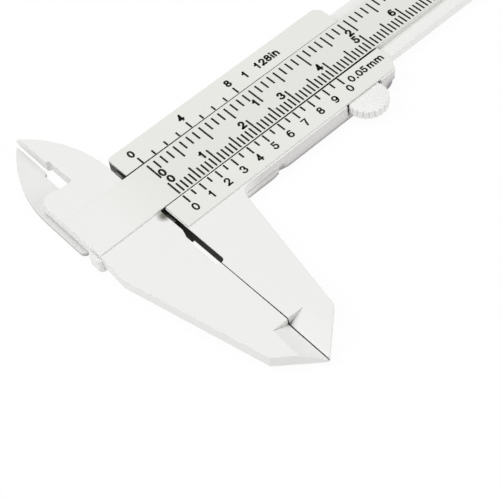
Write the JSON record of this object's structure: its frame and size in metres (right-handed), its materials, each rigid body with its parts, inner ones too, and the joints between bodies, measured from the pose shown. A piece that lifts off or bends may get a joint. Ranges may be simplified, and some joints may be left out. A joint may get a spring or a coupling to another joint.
{
  "type": "depth and step caliper",
  "caption": "Moulded plastic vernier caliper with outer and inside jaws, sliding depth rod and knurled thumb wheel, closed and lying on its back.",
  "frame": {"origin": "on the resting plane (flat underside of the back cover), under the zero line of the main scale and midway across the raised rib", "axes": "+X along the beam from the jaws to the tail, +Y across the beam from the outer jaws to the inside jaws, +Z out of the scale face"},
  "size_m": [0.2281, 0.0771, 0.004],
  "materials": {
    "white_plastic": "moulded, faintly satin, fine grain",
    "cover_plastic": "moulded, matte",
    "wheel_plastic": "moulded, satin",
    "steel": "plain turned or rolled"
  },
  "bodies": {
    "beam": {"beam": "white_plastic", "end_stop": "cover_plastic", "end_stop_screw_lower": "steel", "end_stop_screw_upper": "steel"},
    "slide": {"slide_lower_half": "white_plastic", "slide_upper_half": "white_plastic", "back_cover": "cover_plastic", "pressure_spring": "steel", "depth_rod": "cover_plastic", "depth_rod_rivet": "steel", "wheel_axle": "steel", "cover_screw_lower_left": "steel", "cover_screw_lower_right": "steel", "cover_screw_upper_left": "steel", "cover_screw_upper_right": "steel"},
    "thumb_wheel": {"thumb_wheel": "wheel_plastic"}
  },
  "joints": [
    {"name": "slide_travel", "type": "slide", "parent": "beam", "child": "slide", "axis": [1, 0, 0], "range_m": [0, 0.15]},
    {"name": "thumb_wheel_spin", "type": "hinge", "parent": "slide", "child": "thumb_wheel", "pos_m": [0.04005, -0.01265, 0.0025], "axis": [0, 0, 1], "range_deg": [-1, 2048]}
  ],
  "couplings": [
    {"joint": "thumb_wheel_spin", "follows": "slide_travel", "rad_per_m": 238.1}
  ]
}
